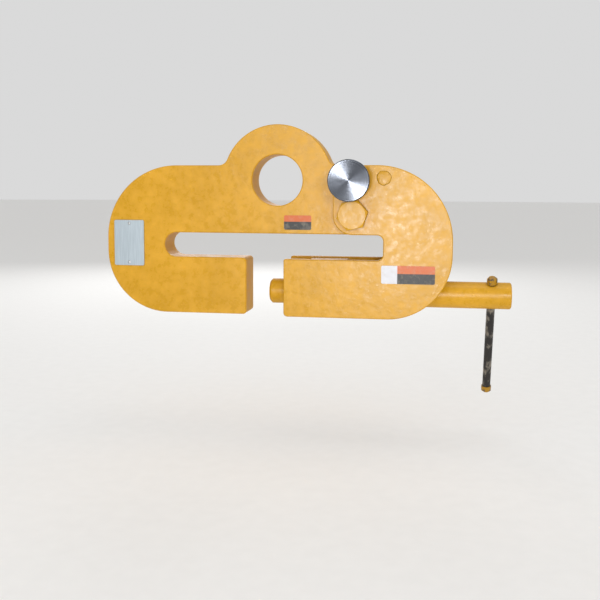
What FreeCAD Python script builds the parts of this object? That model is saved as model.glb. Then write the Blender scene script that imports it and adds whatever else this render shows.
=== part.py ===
"""Beam clamp with a swinging jaw and a clamping screw.

Millimetres, +Z up. The origin is the centre of the lifting eye, in the middle of the main
plate's thickness. X runs across the beam's flange and the front of the clamp faces -Y.
"""
import FreeCAD, Part
import math
import os

import Sketcher
from FreeCAD import Placement, Rotation, Vector

doc = FreeCAD.newDocument("beam_clamp")

# ---------------------------------------------------------------- driving dimensions
SIZES = {
    # main plate: its outline in X and Z, and its thickness in Y
    "plate_thick": 44.0,
    "left_end": -237.0,
    "right_end": 231.0,
    "top_edge": 19.5,
    "bottom_edge": -180.5,
    "upper_corner": 98.0,
    "lower_corner": 84.0,
    "eye_radius": 34.0,
    "eye_rim": 73.5,
    "shoulder_fillet": 13.0,
    "plate_chamfer": 1.2,
    # the mouth that takes the beam's flange
    "mouth_top": -71.0,
    "mouth_bottom": -104.0,
    "mouth_left": -156.0,
    "mouth_right": 142.0,
    "mouth_fillet": 8.0,
    "left_jaw_end": -42.0,
    "right_jaw_end": 11.0,
    # swinging jaw: two cheeks, one each side of the main plate
    "cheek_thick": 12.0,
    "cheek_gap": 0.4,
    "hinge_along": 102.0,
    "hinge_height": -45.0,
    "lobe_radius": 26.0,
    "tongue_radius": 64.5,
    "cheek_corner": 18.0,
    # hinge bolt, its bush, washer and nut
    "hinge_bolt_dia": 24.0,
    "hinge_hex": 36.0,
    "hinge_head": 13.0,
    "hinge_nut_thick": 19.0,
    "hinge_tail": 4.0,
    "bush_outer": 32.0,
    "washer_outer": 44.0,
    "washer_thick": 4.0,
    "running_gap": 0.05,
    # lock pin
    "pin_along": 100.0,
    "pin_height": -1.0,
    "pin_dia": 18.0,
    "pin_travel": 16.0,
    "pin_backset": 0.8,
    "groove_from_tip": 6.2,
    "groove_wide": 2.4,
    "groove_deep": 1.2,
    "sleeve_outer": 32.0,
    "sleeve_high": 13.2,
    "knob_dia": 53.0,
    "knob_thick": 10.0,
    "pin_hole_deep": 18.0,
    "swing_angle": 28.0,
    # clamping screw
    "screw_height": -150.0,
    "screw_dia": 27.0,
    "screw_pitch": 6.0,
    "screw_root": 20.8,
    "thread_start": 30.0,
    "thread_end": 114.0,
    "rod_start": -4.0,
    "rod_end": 160.0,
    "spigot_dia": 20.0,
    "spigot_end": 16.0,
    "roll_pin_dia": 6.0,
    "roll_pin_along": 134.0,
    "pad_dia": 33.5,
    "pad_front": -12.0,
    "pad_back": 15.6,
    "tube_dia": 35.0,
    "tube_start": 120.0,
    "tube_end": 308.0,
    "bar_along": 283.0,
    "bar_dia": 11.0,
    "bar_long": 170.0,
    "bar_cap_dia": 13.5,
    "bar_cap_long": 9.0,
    "bar_lean": 22.0,
    "nut_start": 42.0,
    "nut_end": 92.0,
    "nut_outer": 33.0,
    "nut_block_low": -178.0,
    "nut_block_high": -106.0,
    "guide_start": 148.0,
    "guide_end": 186.0,
    "guide_block_low": -169.0,
    "guide_block_high": -131.0,
    # rating tag
    "tag_left": -227.0,
    "tag_wide": 42.0,
    "tag_low": -117.0,
    "tag_high": 62.0,
    "tag_thick": 1.0,
    "tag_screw_dia": 4.0,
    # blank vinyl labels on the main plate and on the front cheek
    "label_thick": 0.3,
    "small_label_left": 9.5,
    "small_label_wide": 36.5,
    "small_label_low": -65.5,
    "small_label_high": 19.0,
    "jaw_label_left": 140.0,
    "jaw_label_wide": 69.0,
    "jaw_label_low": -133.5,
    "jaw_label_high": 23.5,
}

sheet = doc.addObject("Spreadsheet::Sheet", "sizes")
for row, (alias, number) in enumerate(SIZES.items(), start=1):
    sheet.set(f"A{row}", alias)
    sheet.set(f"B{row}", str(number))
    sheet.setAlias(f"B{row}", alias)
doc.recompute()


def size(alias):
    """The number in the sheet's cell of that name."""
    return float(getattr(sheet, alias))


# ---------------------------------------------------------------- drawing helpers
def new_body(label):
    body = doc.addObject("PartDesign::Body", label)
    body.Label = label
    return body


def put(body, along="0", across="0", height="0", rotation=None):
    """Place a body by expressions on the sheet's cells."""
    if rotation:
        body.Placement = Placement(Vector(), rotation)
    for axis, words in (("x", along), ("y", across), ("z", height)):
        body.setExpression(f"Placement.Base.{axis}", words)


def new_sketch(body, role, name):
    sketch = body.newObject("Sketcher::SketchObject", f"{body.Label}_{name}")
    planes = [f for f in body.Origin.OriginFeatures if f.Role == role]
    sketch.AttachmentSupport = (planes[0], [""])
    sketch.MapMode = "FlatFace"
    return sketch


def round_sketch(body, name, radii, centre=None, role="XZ_Plane"):
    """Concentric circles whose radii, and centre if it has one, are bound to cells."""
    sketch = new_sketch(body, role, name)
    for number, words in enumerate(radii):
        geo = sketch.addGeometry(Part.Circle(Vector(), Vector(0, 0, 1), 1 + number))
        if centre:
            for kind, cell in (("DistanceX", centre[0]), ("DistanceY", centre[1])):
                index = sketch.addConstraint(Sketcher.Constraint(kind, -1, 1, geo, 3, size(cell)))
                sketch.setExpression(f"Constraints[{index}]", f"sizes.{cell}")
        else:
            sketch.addConstraint(Sketcher.Constraint("Coincident", geo, 3, -1, 1))
        index = sketch.addConstraint(Sketcher.Constraint("Radius", geo, 1 + number))
        sketch.setExpression(f"Constraints[{index}]", words)
    return sketch


def drawn_sketch(body, name, curves, role="XZ_Plane"):
    """A closed outline of lines and arcs."""
    sketch = new_sketch(body, role, name)
    sketch.addGeometry(curves, False)
    return sketch


def pad(body, sketch, length):
    feature = body.newObject("PartDesign::Pad", f"{sketch.Name}_pad")
    feature.Profile = sketch
    feature.SideType = "Symmetric"
    feature.setExpression("Length", length)
    sketch.Visibility = False
    doc.recompute()
    return feature


def through_pocket(body, sketch):
    """A hole through the whole body, which has to take material away."""
    before = body.Shape.Volume
    feature = body.newObject("PartDesign::Pocket", f"{sketch.Name}_cut")
    feature.Profile = sketch
    feature.SideType = "Symmetric"
    feature.Type = "ThroughAll"
    doc.recompute()
    if body.Shape.Volume >= before:
        raise RuntimeError(f"{sketch.Name} cut nothing")
    return feature


def front_pocket(body, sketch, depth):
    """A blind hole from the front face of a plate, which has to take material away."""
    before = body.Shape.Volume
    sketch.AttachmentOffset = Placement(Vector(0, 0, -body.Shape.BoundBox.YMin), Rotation())
    feature = body.newObject("PartDesign::Pocket", f"{sketch.Name}_cut")
    feature.Profile = sketch
    feature.Type = "Length"
    feature.setExpression("Length", depth)
    doc.recompute()
    if body.Shape.Volume >= before:
        raise RuntimeError(f"{sketch.Name} cut nothing")
    return feature


def turn(body, points):
    """A turned piece from its half section, given as (along, radius) corners."""
    corners = [Vector(along, radius, 0) for along, radius in points]
    curves = [Part.LineSegment(a, b) for a, b in zip(corners, corners[1:] + corners[:1])]
    sketch = drawn_sketch(body, "section", curves)
    feature = body.newObject("PartDesign::Revolution", f"{body.Label}_turned")
    feature.Profile = sketch
    feature.ReferenceAxis = (sketch, ["H_Axis"])
    feature.Angle = 360
    doc.recompute()
    return feature


def chamfer(body, base, edges, words):
    feature = body.newObject("PartDesign::Chamfer", f"{body.Label}_chamfer")
    feature.Base = (base, edges)
    feature.setExpression("Size", words)
    doc.recompute()
    return feature


def rim_edges(shape, radius):
    """Names of the full circles of that radius."""
    return [f"Edge{number}" for number, edge in enumerate(shape.Edges, start=1)
            if edge.Curve.TypeId == "Part::GeomCircle" and edge.isClosed()
            and abs(edge.Curve.Radius - radius) < 1e-6]


def face_outline_edges(shape):
    """Names of every edge that lies in one of the two faces across Y."""
    box = shape.BoundBox
    return [f"Edge{number}" for number, edge in enumerate(shape.Edges, start=1)
            if edge.BoundBox.YLength < 1e-6
            and min(abs(edge.BoundBox.YMin - box.YMin), abs(edge.BoundBox.YMax - box.YMax)) < 1e-6]


def point(along, height):
    return Vector(along, height, 0)


def line(a, b):
    return Part.LineSegment(a, b)


def arc(centre, radius, first_degrees, last_degrees):
    """Counterclockwise arc from the first angle to the last."""
    circle = Part.Circle(centre, Vector(0, 0, 1), radius)
    return Part.ArcOfCircle(circle, math.radians(first_degrees), math.radians(last_degrees))


def ends(curve):
    return curve.StartPoint, curve.EndPoint


# ---------------------------------------------------------------- shared places
top = size("top_edge")
bottom = size("bottom_edge")
left_end = size("left_end")
right_end = size("right_end")
upper_r = size("upper_corner")
lower_r = size("lower_corner")
hinge = point(size("hinge_along"), size("hinge_height"))
mouth_top = size("mouth_top")
mouth_bottom = size("mouth_bottom")
cheek_face = "(sizes.plate_thick / 2 + sizes.cheek_gap + sizes.cheek_thick)"
cheek_middle = "(sizes.plate_thick / 2 + sizes.cheek_gap + sizes.cheek_thick / 2)"
cheek_room = "(sizes.plate_thick + 2 * sizes.cheek_gap)"


def hole_when_open():
    """Where the lock pin stands over the main plate with the jaw swung fully open."""
    pin = point(size("pin_along"), size("pin_height")) - hinge
    turn_by = Rotation(Vector(0, 0, 1), size("swing_angle"))
    return hinge + turn_by.multVec(pin)


# ---------------------------------------------------------------- main plate
def main_plate_outline():
    """Rounded left end, left jaw, mouth, round tongue at the hinge, and the eye's rim."""
    rim = size("eye_rim")
    fillet = size("shoulder_fillet")
    mouth_r = (mouth_top - mouth_bottom) / 2
    jaw_end = size("left_jaw_end")
    jaw_corner = 5.0
    shoulder_z = top + fillet
    shoulder_x = math.sqrt((rim + fillet) ** 2 - shoulder_z ** 2)
    rim_angle = math.degrees(math.atan2(shoulder_z, shoulder_x))
    tongue_r = size("tongue_radius")
    tongue_angle = math.degrees(math.asin((mouth_top - hinge.y) / tongue_r))

    left_top = point(left_end + upper_r, top)
    upper = arc(point(left_end + upper_r, top - upper_r), upper_r, 90, 180)
    lower = arc(point(left_end + lower_r, bottom + lower_r), lower_r, 180, 270)
    low_corner = arc(point(jaw_end - jaw_corner, bottom + jaw_corner), jaw_corner, 270, 360)
    high_corner = arc(point(jaw_end - jaw_corner, mouth_bottom - jaw_corner), jaw_corner, 0, 90)
    mouth_end = arc(point(size("mouth_left") + mouth_r, mouth_bottom + mouth_r),
                    mouth_r, 90, 270)
    tongue = arc(hinge, tongue_r, tongue_angle, 90)
    right_shoulder = arc(point(shoulder_x, shoulder_z), fillet, 180 + rim_angle, 270)
    eye_rim = arc(point(0, 0), rim, rim_angle, 180 - rim_angle)
    left_shoulder = arc(point(-shoulder_x, shoulder_z), fillet, 270, 360 - rim_angle)
    return [
        upper,
        line(ends(upper)[1], ends(lower)[0]),
        lower,
        line(ends(lower)[1], ends(low_corner)[0]),
        low_corner,
        line(ends(low_corner)[1], ends(high_corner)[0]),
        high_corner,
        line(ends(high_corner)[1], ends(mouth_end)[1]),
        mouth_end,
        line(ends(mouth_end)[0], ends(tongue)[0]),
        tongue,
        line(ends(tongue)[1], ends(right_shoulder)[1]),
        right_shoulder,
        eye_rim,
        left_shoulder,
        line(ends(left_shoulder)[0], left_top),
    ]


def make_main_plate():
    body = new_body("main_plate")
    pad(body, drawn_sketch(body, "outline", main_plate_outline()), "sizes.plate_thick")
    through_pocket(body, round_sketch(body, "eye", ["sizes.eye_radius"]))
    through_pocket(body, round_sketch(body, "hinge_bore", ["sizes.bush_outer / 2"],
                                      ("hinge_along", "hinge_height")))
    chamfer(body, body.Tip, face_outline_edges(body.Shape), "sizes.plate_chamfer")
    pin_hole = "sizes.pin_dia / 2 + 2 * sizes.running_gap"
    front_pocket(body, round_sketch(body, "closed_hole", [pin_hole],
                                    ("pin_along", "pin_height")), "sizes.pin_hole_deep")
    # the jaw's open position has a pin hole of its own, mostly behind the knob
    open_hole = new_sketch(body, "XZ_Plane", "open_hole")
    open_radius = size("pin_dia") / 2 + 2 * size("running_gap")
    open_hole.addGeometry(Part.Circle(hole_when_open(), Vector(0, 0, 1), open_radius), False)
    front_pocket(body, open_hole, "sizes.pin_hole_deep")
    return body


def make_ring(label, outer, inner, length, along, across, height, bevel=0):
    """A tube or washer whose axis runs through the clamp, along Y, bevelled at its rims."""
    body = new_body(label)
    pad(body, round_sketch(body, "ring", [outer, inner]), length)
    if bevel:
        outer_radius = max(e.Curve.Radius for e in body.Shape.Edges
                           if e.Curve.TypeId == "Part::GeomCircle")
        chamfer(body, body.Tip, rim_edges(body.Shape, outer_radius), str(bevel))
    put(body, along, across, height)
    return body


def make_flat_plate(label, left, wide, low, high, thick, face):
    """A thin upright plate with rounded corners, flat on a face that looks to the front."""
    body = new_body(label)
    corner = 2.0
    far, up = size(wide) - corner, size(high) - corner
    centres = [(far, corner, -90), (far, up, 0), (corner, up, 90), (corner, corner, 180)]
    corners = [arc(point(x, z), corner, start, start + 90) for x, z, start in centres]
    sides = [line(ends(a)[1], ends(b)[0]) for a, b in zip(corners, corners[1:] + corners[:1])]
    pad(body, drawn_sketch(body, "blank", corners + sides), f"sizes.{thick}")
    put(body, f"sizes.{left}", f"-({face} + sizes.{thick} / 2)", f"sizes.{low}")
    return body


def make_tag_drive_screws():
    """Two domed drive screws, at the tag's top and bottom, as one group of solids."""
    radius = size("tag_screw_dia") / 2
    dome_high = 0.9
    dome_r = (radius ** 2 + dome_high ** 2) / (2 * dome_high)
    face = -(size("plate_thick") / 2 + size("tag_thick"))
    inset = 4.5
    middle = size("tag_left") + size("tag_wide") / 2
    solids = []
    for height in (size("tag_low") + inset, size("tag_low") + size("tag_high") - inset):
        ball = Part.makeSphere(dome_r, Vector(middle, face + dome_r - dome_high, height))
        keep = Part.makeCylinder(radius + 1, dome_high, Vector(middle, face, height),
                                 Vector(0, -1, 0))
        solids.append(ball.common(keep))
    feature = doc.addObject("Part::Feature", "tag_drive_screws")
    feature.Label = "tag_drive_screws"
    feature.Shape = Part.makeCompound([shape.Solids[0] for shape in solids])
    return feature


# ---------------------------------------------------------------- swinging jaw
def cheek_outline():
    """Straight left edge above a lobe round the hinge, rounded right end, mouth and arm."""
    corner = size("cheek_corner")
    lobe_r = size("lobe_radius")
    left_edge = hinge.x - lobe_r
    mouth_r = size("mouth_fillet")
    mouth_end = size("mouth_right")
    arm_end = size("right_jaw_end")
    arm_corner = 5.0
    top_left = arc(point(left_edge + corner, top - corner), corner, 90, 180)
    lobe = arc(hinge, lobe_r, 180, 270)
    high_mouth = arc(point(mouth_end - mouth_r, mouth_top - mouth_r), mouth_r, 0, 90)
    low_mouth = arc(point(mouth_end - mouth_r, mouth_bottom + mouth_r), mouth_r, 270, 360)
    arm_top = arc(point(arm_end + arm_corner / 2, mouth_bottom - arm_corner / 2),
                  arm_corner / 2, 90, 180)
    arm_low = arc(point(arm_end + arm_corner, bottom + arm_corner), arm_corner, 180, 270)
    lower = arc(point(right_end - lower_r, bottom + lower_r), lower_r, 270, 360)
    upper = arc(point(right_end - upper_r, top - upper_r), upper_r, 0, 90)
    return [
        top_left,
        line(ends(top_left)[1], ends(lobe)[0]),
        lobe,
        line(ends(lobe)[1], ends(high_mouth)[1]),
        high_mouth,
        line(ends(high_mouth)[0], ends(low_mouth)[1]),
        low_mouth,
        line(ends(low_mouth)[0], ends(arm_top)[0]),
        arm_top,
        line(ends(arm_top)[1], ends(arm_low)[0]),
        arm_low,
        line(ends(arm_low)[1], ends(lower)[0]),
        lower,
        line(ends(lower)[1], ends(upper)[0]),
        upper,
        line(ends(upper)[1], ends(top_left)[0]),
    ]


def make_cheek(label, side, has_pin_hole):
    body = new_body(label)
    pad(body, drawn_sketch(body, "outline", cheek_outline()), "sizes.cheek_thick")
    through_pocket(body, round_sketch(body, "bolt_hole",
                                      ["sizes.hinge_bolt_dia / 2 + sizes.running_gap"],
                                      ("hinge_along", "hinge_height")))
    if has_pin_hole:
        through_pocket(body, round_sketch(body, "pin_hole",
                                          ["sizes.pin_dia / 2 + sizes.running_gap"],
                                          ("pin_along", "pin_height")))
    chamfer(body, body.Tip, face_outline_edges(body.Shape), "sizes.plate_chamfer")
    put(body, across=f"{side} * {cheek_middle}")
    return body


def make_spine_spacer():
    """Thick curved bar between the cheeks, concentric with the tongue so that it can swing."""
    off_tongue = 2.0
    inside_cheeks = 4.0
    inner_from, inner_to = -38, 48
    outer_from, outer_to = -5, 70
    outer_centre = point(right_end - upper_r, top - upper_r)
    inner = arc(hinge, size("tongue_radius") + off_tongue, inner_from, inner_to)
    outer = arc(outer_centre, upper_r - inside_cheeks, outer_from, outer_to)
    body = new_body("spine_spacer")
    curves = [inner, line(ends(inner)[1], ends(outer)[1]), outer,
              line(ends(outer)[0], ends(inner)[0])]
    pad(body, drawn_sketch(body, "outline", curves), cheek_room)
    put(body)
    return body


def make_bored_block(name, bore):
    """A block between the cheeks, bored along X for the screw."""
    body = new_body(f"{name}_block")
    first, last = size(f"{name}_start"), size(f"{name}_end")
    low, high = size(f"{name}_block_low"), size(f"{name}_block_high")
    corners = [point(first, low), point(last, low), point(last, high), point(first, high)]
    sides = [line(a, b) for a, b in zip(corners, corners[1:] + corners[:1])]
    pad(body, drawn_sketch(body, "outline", sides), cheek_room)
    sketch = round_sketch(body, "bore", [bore], role="YZ_Plane")
    sketch.AttachmentOffset = Placement(Vector(0, size("screw_height"), 0), Rotation())
    through_pocket(body, sketch)
    put(body)
    return body


def hexagon(across_flats, turn_degrees):
    radius = across_flats / math.sqrt(3)
    angles = [math.radians(turn_degrees + 60 * step) for step in range(6)]
    corners = [point(radius * math.cos(a), radius * math.sin(a)) for a in angles]
    return [line(a, b) for a, b in zip(corners, corners[1:] + corners[:1])]


def bevel_hex(body):
    """Takes the six points off a hexagon's front face with a wide cone."""
    box = body.Shape.BoundBox
    half = box.YLength / 2
    across = size("hinge_hex")
    section = new_sketch(body, "YZ_Plane", "bevel")
    low = 0.97 * across / 2
    beyond_the_points = 1.25 * across / 2
    drop = (beyond_the_points - low) * math.tan(math.radians(30))
    corners = [point(-half, low), point(-half + drop, beyond_the_points),
               point(-half - 1, beyond_the_points), point(-half - 1, low)]
    section.addGeometry([line(a, b) for a, b in zip(corners, corners[1:] + corners[:1])],
                        False)
    before = body.Shape.Volume
    groove = body.newObject("PartDesign::Groove", f"{body.Label}_bevel_cut")
    groove.Profile = section
    groove.ReferenceAxis = (section, ["H_Axis"])
    groove.Angle = 360
    doc.recompute()
    if body.Shape.Volume >= before:
        raise RuntimeError(f"{body.Label}: the bevel cut nothing")


def make_hinge_bolt():
    """Hex head at the front and a plain shank through both cheeks, the washer and the nut."""
    head_turned = 12
    body = new_body("hinge_bolt")
    pad(body, drawn_sketch(body, "head", hexagon(size("hinge_hex"), head_turned)),
        "sizes.hinge_head")
    bevel_hex(body)
    shank_long = (f"(2 * {cheek_face} + sizes.washer_thick + sizes.hinge_nut_thick"
                  " + sizes.hinge_tail)")
    shank = round_sketch(body, "shank", ["sizes.hinge_bolt_dia / 2"])
    shank.AttachmentOffset = Placement(Vector(0, 0, -size("hinge_head") / 2), Rotation())
    feature = body.newObject("PartDesign::Pad", "hinge_shank_pad")
    feature.Profile = shank
    feature.Reversed = True
    feature.setExpression("Length", shank_long)
    doc.recompute()
    put(body, "sizes.hinge_along", f"-({cheek_face} + sizes.hinge_head / 2)",
        "sizes.hinge_height")
    return body


def make_hinge_nut():
    body = new_body("hinge_nut")
    pad(body, drawn_sketch(body, "hex", hexagon(size("hinge_hex"), 0)),
        "sizes.hinge_nut_thick")
    bevel_hex(body)
    through_pocket(body, round_sketch(body, "bore", ["sizes.hinge_bolt_dia / 2"]))
    put(body, "sizes.hinge_along",
        f"{cheek_face} + sizes.washer_thick + sizes.hinge_nut_thick / 2",
        "sizes.hinge_height", Rotation(Vector(0, 0, 1), 180))
    return body


# ---------------------------------------------------------------- lock pin
def make_lock_pin():
    """Plain pin, drawn back until its tip is just inside the front cheek."""
    tip = size("plate_thick") / 2 + size("pin_backset")
    knob_back = tip_to_knob()
    radius = size("pin_dia") / 2
    groove_r = radius - size("groove_deep")
    groove_from = tip + size("groove_from_tip") - size("groove_wide") / 2
    groove_to = groove_from + size("groove_wide")
    lead = 1.5
    body = new_body("lock_pin")
    turn(body, [(tip, 0), (tip, radius - lead), (tip + lead, radius), (groove_from, radius),
                (groove_from, groove_r), (groove_to, groove_r), (groove_to, radius),
                (knob_back, radius), (knob_back, 0)])
    put(body, "sizes.pin_along", "0", "sizes.pin_height", Rotation(Vector(0, 0, 1), -90))
    return body


def tip_to_knob():
    """Distance from the middle of the plate out to the back of the knob."""
    clear_when_in = 0.6
    cheek = size("plate_thick") / 2 + size("cheek_gap") + size("cheek_thick")
    return cheek + size("sleeve_high") + size("pin_travel") + clear_when_in


def make_lock_pin_knob():
    knob = new_body("lock_pin_knob")
    back = tip_to_knob()
    front = back + size("knob_thick")
    radius = size("knob_dia") / 2
    edge = 1.0
    turn(knob, [(back, 0), (back, radius - edge), (back + edge, radius),
                (front - edge, radius), (front, radius - edge), (front, 0)])
    put(knob, "sizes.pin_along", "0", "sizes.pin_height", Rotation(Vector(0, 0, 1), -90))
    return knob


def make_lock_pin_friction_ring():
    """Rubber ring in the pin's groove, which holds the pin where it is put."""
    ring = doc.addObject("Part::Torus", "lock_pin_friction_ring")
    ring.Label = "lock_pin_friction_ring"
    ring.setExpression("Radius1", "sizes.pin_dia / 2 - sizes.groove_deep / 2")
    ring.setExpression("Radius2", "sizes.groove_deep / 2")
    ring.Placement = Placement(Vector(), Rotation(Vector(1, 0, 0), 90))
    put(ring, "sizes.pin_along",
        "-(sizes.plate_thick / 2 + sizes.pin_backset + sizes.groove_from_tip)",
        "sizes.pin_height")
    return ring


# ---------------------------------------------------------------- clamping screw
def make_clamp_screw():
    """Rod with a spigot for the pad and trapezoidal threads, drawn as closed rings."""
    outer = size("screw_dia") / 2
    root = size("screw_root") / 2
    pitch = size("screw_pitch")
    spigot = size("spigot_dia") / 2
    spigot_end = size("spigot_end")
    first, last = size("rod_start"), size("rod_end")
    edge = 1.0
    flank = 0.2 * pitch
    flat = 0.3 * pitch
    points = [(first, 0), (first, spigot - edge), (first + edge, spigot),
              (spigot_end, spigot), (spigot_end, outer)]
    start = size("thread_start")
    while start + pitch <= size("thread_end"):
        points += [(start, outer), (start + flank, root), (start + flank + flat, root),
                   (start + flank + flat + flank, outer)]
        start += pitch
    points += [(last, outer), (last, 0)]
    body = new_body("clamp_screw")
    turn(body, points)
    cross_hole(body, "roll_pin_hole", "roll_pin_along", "sizes.roll_pin_dia / 2")
    put(body, height="sizes.screw_height", rotation=lean())
    return body


def cross_hole(body, name, along, radius):
    """A round hole right across the screw, along Z before the body is placed."""
    sketch = round_sketch(body, name, [radius], role="XY_Plane")
    sketch.AttachmentOffset = Placement(Vector(size(along), 0, 0), Rotation())
    through_pocket(body, sketch)


def make_drive_tube():
    """Outer tube, with a hole for the roll pin and one for the tommy bar."""
    outer = size("tube_dia") / 2
    inner = size("screw_dia") / 2
    first, last = size("tube_start"), size("tube_end")
    edge = 1.5
    body = new_body("drive_tube")
    turn(body, [(first, inner), (first, outer - edge), (first + edge, outer),
                (last - edge, outer), (last, outer - edge), (last, inner)])
    cross_hole(body, "roll_pin_hole", "roll_pin_along", "sizes.roll_pin_dia / 2")
    cross_hole(body, "bar_hole", "bar_along", "sizes.bar_dia / 2 + sizes.running_gap")
    put(body, height="sizes.screw_height", rotation=lean())
    return body


def lean():
    """The screw's rest turn, with the tommy bar's lower end swung to the back."""
    return Rotation(Vector(1, 0, 0), size("bar_lean"))


def make_tube_roll_pin():
    """Hollow pin through the tube and the rod, a little shorter than the tube is wide."""
    body = new_body("tube_roll_pin")
    sketch = round_sketch(body, "section", ["sizes.roll_pin_dia / 2", "sizes.roll_pin_dia / 4"],
                          role="XY_Plane")
    pad(body, sketch, "sizes.tube_dia - 1.5")
    put(body, "sizes.roll_pin_along", height="sizes.screw_height", rotation=lean())
    return body


def make_tube_end_plug():
    inner = size("screw_dia") / 2
    last = size("tube_end")
    first = last - 9.0
    edge = 1.0
    body = new_body("tube_end_plug")
    turn(body, [(first, 0), (first, inner), (last - edge, inner), (last, inner - edge),
                (last, 0)])
    put(body, height="sizes.screw_height")
    return body


def make_lead_nut():
    first, last = size("nut_start"), size("nut_end")
    outer = size("nut_outer") / 2
    bore = size("screw_dia") / 2 + size("running_gap")
    body = new_body("lead_nut")
    turn(body, [(first, bore), (first, outer), (last, outer), (last, bore)])
    put(body, height="sizes.screw_height")
    return body


def make_pressure_pad():
    """Swivel pad on the spigot, which bears on the beam's web."""
    front, back = size("pad_front"), size("pad_back")
    outer = size("pad_dia") / 2
    bore = size("spigot_dia") / 2 + size("running_gap")
    bore_end = size("rod_start") - 0.4
    front_edge = 3.0
    back_edge = 1.0
    body = new_body("pressure_pad")
    turn(body, [(front, 0), (front, outer - front_edge), (front + front_edge, outer),
                (back - back_edge, outer), (back, outer - back_edge), (back, bore),
                (bore_end, bore), (bore_end, 0)])
    put(body, height="sizes.screw_height")
    return body


# ---------------------------------------------------------------- tommy bar
def on_bar(along_bar, turned=Rotation()):
    """The place that far up the tommy bar's own leaning axis."""
    offset = lean().multVec(Vector(size("bar_along"), 0, along_bar))
    return Placement(offset + Vector(0, 0, size("screw_height")), lean().multiply(turned))


def make_tommy_bar():
    """The bar hangs from its top cap, which rests on the tube."""
    above_tube = 0.35
    top_cap = size("tube_dia") / 2 + above_tube + size("bar_cap_long") / 2
    bar_middle = top_cap - size("bar_long") / 2
    bottom_cap = top_cap - size("bar_long")
    bar = new_body("tommy_bar")
    section = round_sketch(bar, "section", ["sizes.bar_dia / 2"], role="XY_Plane")
    pad(bar, section, "sizes.bar_long")
    chamfer(bar, bar.Tip, rim_edges(bar.Shape, size("bar_dia") / 2), "0.5")
    bar.Placement = on_bar(bar_middle)
    return [bar, make_bar_cap("tommy_bar_top_cap", top_cap, 1),
            make_bar_cap("tommy_bar_bottom_cap", bottom_cap, -1)]


def make_bar_cap(label, along_bar, facing):
    """End cap swaged over the bar and bored half way for it, facing up (1) or down (-1)."""
    radius = size("bar_cap_dia") / 2
    half = size("bar_cap_long") / 2
    bore = size("bar_dia") / 2
    end_edge = 2.0
    bar_edge = 0.6
    body = new_body(label)
    turn(body, [(-half, bore), (-half, radius - bar_edge), (-half + bar_edge, radius),
                (half - end_edge, radius), (half, radius - end_edge), (half, 0), (0, 0),
                (0, bore)])
    body.Placement = on_bar(along_bar, Rotation(Vector(0, 1, 0), -90 * facing))
    return body


# ---------------------------------------------------------------- the whole clamp
def check(parts):
    """Stops if any feature failed or any sub-part's shape is empty or not valid."""
    for item in doc.Objects:
        if "Invalid" in item.State or "Error" in item.State:
            raise RuntimeError(f"{item.Name} did not recompute: {item.State}")
    for part in parts:
        if part.Shape.isNull() or not part.Shape.isValid():
            raise RuntimeError(f"{part.Label} has no valid shape")


def export(parts):
    os.makedirs("parts", exist_ok=True)
    for part in parts:
        part.Shape.exportStep(f"parts/{part.Label}.step")
        box = part.Shape.BoundBox
        print(f"{part.Label:24s} {part.Shape.Volume:12.1f} mm3  x {box.XMin:8.2f} {box.XMax:8.2f}"
              f"  y {box.YMin:7.2f} {box.YMax:7.2f}  z {box.ZMin:8.2f} {box.ZMax:8.2f}")


def build():
    parts = [
        make_main_plate(),
        make_ring("hinge_bush", "sizes.bush_outer / 2",
                  "sizes.hinge_bolt_dia / 2 + sizes.running_gap", "sizes.plate_thick",
                  "sizes.hinge_along", "0", "sizes.hinge_height"),
        make_flat_plate("rating_tag", "tag_left", "tag_wide", "tag_low", "tag_high",
                        "tag_thick", "sizes.plate_thick / 2"),
        make_flat_plate("mouth_label", "small_label_left", "small_label_wide", "small_label_low",
                        "small_label_high", "label_thick", "sizes.plate_thick / 2"),
        make_flat_plate("jaw_label", "jaw_label_left", "jaw_label_wide", "jaw_label_low",
                        "jaw_label_high", "label_thick", cheek_face),
        make_tag_drive_screws(),
        make_cheek("front_jaw_cheek", -1, True),
        make_cheek("rear_jaw_cheek", 1, False),
        make_spine_spacer(),
        make_bored_block("nut", "sizes.nut_outer / 2"),
        make_bored_block("guide", "sizes.tube_dia / 2 + sizes.running_gap"),
        make_hinge_bolt(),
        make_ring("hinge_washer", "sizes.washer_outer / 2",
                  "sizes.hinge_bolt_dia / 2 + sizes.running_gap", "sizes.washer_thick",
                  "sizes.hinge_along", f"{cheek_face} + sizes.washer_thick / 2",
                  "sizes.hinge_height", 0.6),
        make_hinge_nut(),
        make_ring("lock_pin_sleeve", "sizes.sleeve_outer / 2",
                  "sizes.pin_dia / 2 + sizes.running_gap", "sizes.sleeve_high",
                  "sizes.pin_along", f"-({cheek_face} + sizes.sleeve_high / 2)",
                  "sizes.pin_height", 1),
        make_lock_pin(),
        make_lock_pin_knob(),
        make_lock_pin_friction_ring(),
        make_clamp_screw(),
        make_drive_tube(),
        make_tube_roll_pin(),
        make_tube_end_plug(),
        make_lead_nut(),
        make_pressure_pad(),
    ] + make_tommy_bar()
    doc.recompute()
    check(parts)
    export(parts)


build()
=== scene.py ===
"""Finishes of a lifting beam clamp: its paint, bare metals, tag, labels and weld beads.

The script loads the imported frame, gives every part its finish and adds the weld beads, the
stage, the lights and the camera. It is laid out as an add-on, with one operator for each
group of like pieces, and runs them in order when it is run as a script.
"""
import math

import bmesh
import bpy
from mathutils import Euler, Matrix, Vector


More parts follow.
